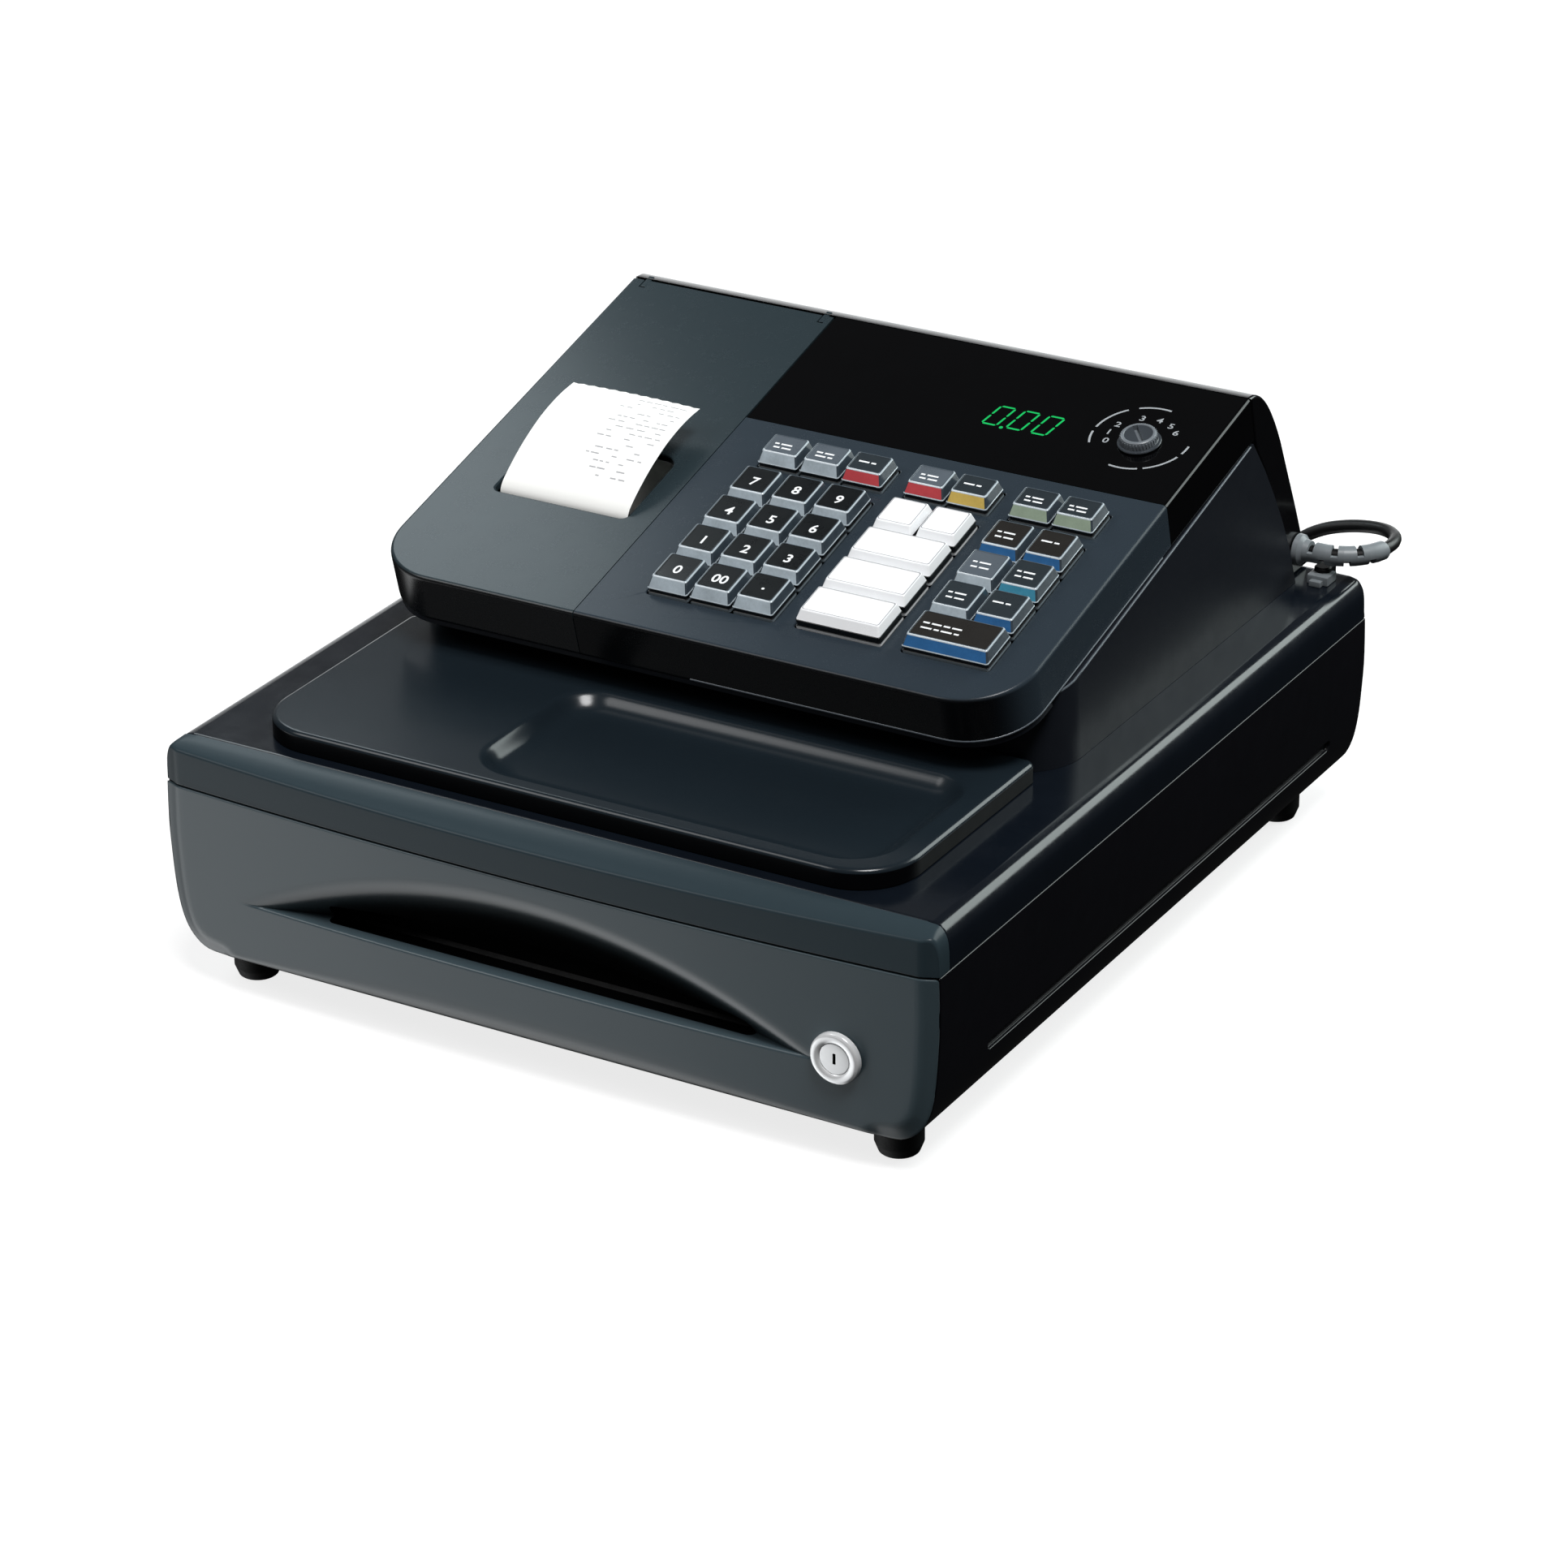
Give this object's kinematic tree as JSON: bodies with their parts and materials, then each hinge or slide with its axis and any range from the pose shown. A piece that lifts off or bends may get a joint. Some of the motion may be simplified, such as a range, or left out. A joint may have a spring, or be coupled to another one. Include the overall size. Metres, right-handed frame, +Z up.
{
  "type": "cash register",
  "caption": "Compact electronic cash register: sloped keyboard and receipt printer over a locking cash drawer with a coin and note till.",
  "frame": {"origin": "centre of the register's footprint, on the plane that its rubber feet stand on", "axes": "+Y from the drawer's front to the back, +X to the clerk's right, +Z up"},
  "size_m": [0.3319, 0.4639, 0.1877],
  "materials": {
    "case_grey": "satin",
    "cover_grey": "satin",
    "housing_black": "gloss",
    "foot_rubber": "matte",
    "tray_dark": "satin",
    "lower_dark": "satin",
    "window_black": "gloss",
    "rear_black": "gloss",
    "mechanism_grey": "satin",
    "roller_rubber": "matte",
    "paper_white": "matte",
    "dial_grey": "satin",
    "board_green": "satin",
    "drawer_dark": "satin",
    "till_dark": "satin",
    "clip_dark": "satin",
    "lock_chrome": "polished",
    "latch_steel": "brushed",
    "relief_grey": "satin",
    "cord_black": "satin",
    "key_black": "gloss",
    "key_white": "gloss",
    "key_grey": "gloss",
    "key_red": "gloss",
    "key_yellow": "gloss",
    "key_green": "gloss",
    "key_blue": "gloss"
  },
  "bodies": {
    "register": {"drawer_housing": "housing_black", "housing_top": "housing_black", "front_band": "case_grey", "rubber_feet": "foot_rubber", "tray_plate": "tray_dark", "lower_case": "lower_dark", "top_cover": "cover_grey", "display_window": "window_black", "rear_cover": "rear_black", "printer_mechanism": "mechanism_grey", "main_board": "board_green", "strain_relief": "relief_grey", "cord": "cord_black", "cord_coil": "cord_black", "plug": "cord_black"},
    "drawer": {"drawer_front": "case_grey", "drawer_box": "drawer_dark", "till_insert": "till_dark", "lock_bezel": "lock_chrome"},
    "lock": {"lock_plug": "lock_chrome"},
    "printer_lid": {"printer_cover": "case_grey", "receipt": "paper_white"},
    "dial": {"mode_dial": "dial_grey"},
    "clip_left": {"note_clip_left": "clip_dark"},
    "clip_middle": {"note_clip_middle": "clip_dark"},
    "clip_right": {"note_clip_right": "clip_dark"},
    "latch": {"drawer_latch": "latch_steel"},
    "platen": {"platen_roller": "roller_rubber"},
    "roll": {"paper_roll": "paper_white"},
    "button_0": {"key_0": "key_black"},
    "button_00": {"key_00": "key_black"},
    "button_point": {"key_point": "key_black"},
    "button_1": {"key_1": "key_black"},
    "button_2": {"key_2": "key_black"},
    "button_3": {"key_3": "key_black"},
    "button_4": {"key_4": "key_black"},
    "button_5": {"key_5": "key_black"},
    "button_6": {"key_6": "key_black"},
    "button_7": {"key_7": "key_black"},
    "button_8": {"key_8": "key_black"},
    "button_9": {"key_9": "key_black"},
    "button_dept_1": {"key_dept_1": "key_white"},
    "button_dept_2": {"key_dept_2": "key_white"},
    "button_dept_3": {"key_dept_3": "key_white"},
    "button_dept_4": {"key_dept_4": "key_white"},
    "button_dept_5": {"key_dept_5": "key_white"},
    "button_feed": {"key_feed": "key_grey"},
    "button_receipt": {"key_receipt": "key_grey"},
    "button_clear": {"key_clear": "key_red"},
    "button_void": {"key_void": "key_red"},
    "button_minus": {"key_minus": "key_yellow"},
    "button_tax_1": {"key_tax_1": "key_green"},
    "button_tax_2": {"key_tax_2": "key_green"},
    "button_charge": {"key_charge": "key_blue"},
    "button_check": {"key_check": "key_blue"},
    "button_no_sale": {"key_no_sale": "key_grey"},
    "button_paid_out": {"key_paid_out": "key_blue"},
    "button_received": {"key_received": "key_grey"},
    "button_balance": {"key_balance": "key_blue"},
    "button_total": {"key_total": "key_blue"}
  },
  "joints": [
    {"name": "drawer_slide", "type": "slide", "parent": "register", "child": "drawer", "axis": [0, -1, 0], "range_m": [0, 0.2]},
    {"name": "printer_lid_hinge", "type": "hinge", "parent": "register", "child": "printer_lid", "pos_m": [-0.09, 0.11721, 0.1846], "axis": [-1, 0, 0], "range_deg": [0, 75]},
    {"name": "lock_turn", "type": "hinge", "parent": "drawer", "child": "lock", "pos_m": [0.124, -0.165, 0.0434], "axis": [0, -1, 0], "range_deg": [0, 90]},
    {"name": "mode_dial_turn", "type": "hinge", "parent": "register", "child": "dial", "pos_m": [0.1085, 0.08181, 0.17771], "axis": [0, -0.2504, 0.9681], "range_deg": [-60, 90]},
    {"name": "note_clip_left_hinge", "type": "hinge", "parent": "drawer", "child": "clip_left", "pos_m": [-0.09193, 0.09, 0.061], "axis": [-1, 0, 0], "range_deg": [0, 35], "stiffness_Nm_per_rad": 0.05, "springref_deg": -22.92},
    {"name": "note_clip_middle_hinge", "type": "hinge", "parent": "drawer", "child": "clip_middle", "pos_m": [0, 0.09, 0.061], "axis": [-1, 0, 0], "range_deg": [0, 35], "stiffness_Nm_per_rad": 0.05, "springref_deg": -22.92},
    {"name": "note_clip_right_hinge", "type": "hinge", "parent": "drawer", "child": "clip_right", "pos_m": [0.09193, 0.09, 0.061], "axis": [-1, 0, 0], "range_deg": [0, 35], "stiffness_Nm_per_rad": 0.05, "springref_deg": -22.92},
    {"name": "drawer_latch_pivot", "type": "hinge", "parent": "register", "child": "latch", "pos_m": [0, 0.167, 0.048], "axis": [1, 0, 0], "range_deg": [0, 12], "stiffness_Nm_per_rad": 0.02, "springref_deg": -5.73},
    {"name": "paper_roll_spin", "type": "hinge", "parent": "register", "child": "roll", "pos_m": [-0.085, 0.062, 0.1335], "axis": [-1, 0, 0], "continuous": true},
    {"name": "platen_spin", "type": "hinge", "parent": "register", "child": "platen", "pos_m": [-0.085, -0.0088, 0.1408], "axis": [-1, 0, 0], "continuous": true},
    {"name": "key_0_press", "type": "slide", "parent": "register", "child": "button_0", "axis": [0, 0.2504, -0.9681], "range_m": [0, 0.0025], "stiffness_N_per_m": 200, "springref_m": -0.002},
    {"name": "key_00_press", "type": "slide", "parent": "register", "child": "button_00", "axis": [0, 0.2504, -0.9681], "range_m": [0, 0.0025], "stiffness_N_per_m": 200, "springref_m": -0.002},
    {"name": "key_point_press", "type": "slide", "parent": "register", "child": "button_point", "axis": [0, 0.2504, -0.9681], "range_m": [0, 0.0025], "stiffness_N_per_m": 200, "springref_m": -0.002},
    {"name": "key_1_press", "type": "slide", "parent": "register", "child": "button_1", "axis": [0, 0.2504, -0.9681], "range_m": [0, 0.0025], "stiffness_N_per_m": 200, "springref_m": -0.002},
    {"name": "key_2_press", "type": "slide", "parent": "register", "child": "button_2", "axis": [0, 0.2504, -0.9681], "range_m": [0, 0.0025], "stiffness_N_per_m": 200, "springref_m": -0.002},
    {"name": "key_3_press", "type": "slide", "parent": "register", "child": "button_3", "axis": [0, 0.2504, -0.9681], "range_m": [0, 0.0025], "stiffness_N_per_m": 200, "springref_m": -0.002},
    {"name": "key_4_press", "type": "slide", "parent": "register", "child": "button_4", "axis": [0, 0.2504, -0.9681], "range_m": [0, 0.0025], "stiffness_N_per_m": 200, "springref_m": -0.002},
    {"name": "key_5_press", "type": "slide", "parent": "register", "child": "button_5", "axis": [0, 0.2504, -0.9681], "range_m": [0, 0.0025], "stiffness_N_per_m": 200, "springref_m": -0.002},
    {"name": "key_6_press", "type": "slide", "parent": "register", "child": "button_6", "axis": [0, 0.2504, -0.9681], "range_m": [0, 0.0025], "stiffness_N_per_m": 200, "springref_m": -0.002},
    {"name": "key_7_press", "type": "slide", "parent": "register", "child": "button_7", "axis": [0, 0.2504, -0.9681], "range_m": [0, 0.0025], "stiffness_N_per_m": 200, "springref_m": -0.002},
    {"name": "key_8_press", "type": "slide", "parent": "register", "child": "button_8", "axis": [0, 0.2504, -0.9681], "range_m": [0, 0.0025], "stiffness_N_per_m": 200, "springref_m": -0.002},
    {"name": "key_9_press", "type": "slide", "parent": "register", "child": "button_9", "axis": [0, 0.2504, -0.9681], "range_m": [0, 0.0025], "stiffness_N_per_m": 200, "springref_m": -0.002},
    {"name": "key_dept_1_press", "type": "slide", "parent": "register", "child": "button_dept_1", "axis": [0, 0.2504, -0.9681], "range_m": [0, 0.0025], "stiffness_N_per_m": 200, "springref_m": -0.002},
    {"name": "key_dept_2_press", "type": "slide", "parent": "register", "child": "button_dept_2", "axis": [0, 0.2504, -0.9681], "range_m": [0, 0.0025], "stiffness_N_per_m": 200, "springref_m": -0.002},
    {"name": "key_dept_3_press", "type": "slide", "parent": "register", "child": "button_dept_3", "axis": [0, 0.2504, -0.9681], "range_m": [0, 0.0025], "stiffness_N_per_m": 200, "springref_m": -0.002},
    {"name": "key_dept_4_press", "type": "slide", "parent": "register", "child": "button_dept_4", "axis": [0, 0.2504, -0.9681], "range_m": [0, 0.0025], "stiffness_N_per_m": 200, "springref_m": -0.002},
    {"name": "key_dept_5_press", "type": "slide", "parent": "register", "child": "button_dept_5", "axis": [0, 0.2504, -0.9681], "range_m": [0, 0.0025], "stiffness_N_per_m": 200, "springref_m": -0.002},
    {"name": "key_feed_press", "type": "slide", "parent": "register", "child": "button_feed", "axis": [0, 0.2504, -0.9681], "range_m": [0, 0.0025], "stiffness_N_per_m": 200, "springref_m": -0.002},
    {"name": "key_receipt_press", "type": "slide", "parent": "register", "child": "button_receipt", "axis": [0, 0.2504, -0.9681], "range_m": [0, 0.0025], "stiffness_N_per_m": 200, "springref_m": -0.002},
    {"name": "key_clear_press", "type": "slide", "parent": "register", "child": "button_clear", "axis": [0, 0.2504, -0.9681], "range_m": [0, 0.0025], "stiffness_N_per_m": 200, "springref_m": -0.002},
    {"name": "key_void_press", "type": "slide", "parent": "register", "child": "button_void", "axis": [0, 0.2504, -0.9681], "range_m": [0, 0.0025], "stiffness_N_per_m": 200, "springref_m": -0.002},
    {"name": "key_minus_press", "type": "slide", "parent": "register", "child": "button_minus", "axis": [0, 0.2504, -0.9681], "range_m": [0, 0.0025], "stiffness_N_per_m": 200, "springref_m": -0.002},
    {"name": "key_tax_1_press", "type": "slide", "parent": "register", "child": "button_tax_1", "axis": [0, 0.2504, -0.9681], "range_m": [0, 0.0025], "stiffness_N_per_m": 200, "springref_m": -0.002},
    {"name": "key_tax_2_press", "type": "slide", "parent": "register", "child": "button_tax_2", "axis": [0, 0.2504, -0.9681], "range_m": [0, 0.0025], "stiffness_N_per_m": 200, "springref_m": -0.002},
    {"name": "key_charge_press", "type": "slide", "parent": "register", "child": "button_charge", "axis": [0, 0.2504, -0.9681], "range_m": [0, 0.0025], "stiffness_N_per_m": 200, "springref_m": -0.002},
    {"name": "key_check_press", "type": "slide", "parent": "register", "child": "button_check", "axis": [0, 0.2504, -0.9681], "range_m": [0, 0.0025], "stiffness_N_per_m": 200, "springref_m": -0.002},
    {"name": "key_no_sale_press", "type": "slide", "parent": "register", "child": "button_no_sale", "axis": [0, 0.2504, -0.9681], "range_m": [0, 0.0025], "stiffness_N_per_m": 200, "springref_m": -0.002},
    {"name": "key_paid_out_press", "type": "slide", "parent": "register", "child": "button_paid_out", "axis": [0, 0.2504, -0.9681], "range_m": [0, 0.0025], "stiffness_N_per_m": 200, "springref_m": -0.002},
    {"name": "key_received_press", "type": "slide", "parent": "register", "child": "button_received", "axis": [0, 0.2504, -0.9681], "range_m": [0, 0.0025], "stiffness_N_per_m": 200, "springref_m": -0.002},
    {"name": "key_balance_press", "type": "slide", "parent": "register", "child": "button_balance", "axis": [0, 0.2504, -0.9681], "range_m": [0, 0.0025], "stiffness_N_per_m": 200, "springref_m": -0.002},
    {"name": "key_total_press", "type": "slide", "parent": "register", "child": "button_total", "axis": [0, 0.2504, -0.9681], "range_m": [0, 0.0025], "stiffness_N_per_m": 200, "springref_m": -0.002}
  ],
  "couplings": [
    {"joint": "platen_spin", "follows": "paper_roll_spin", "ratio": 4.6774}
  ]
}
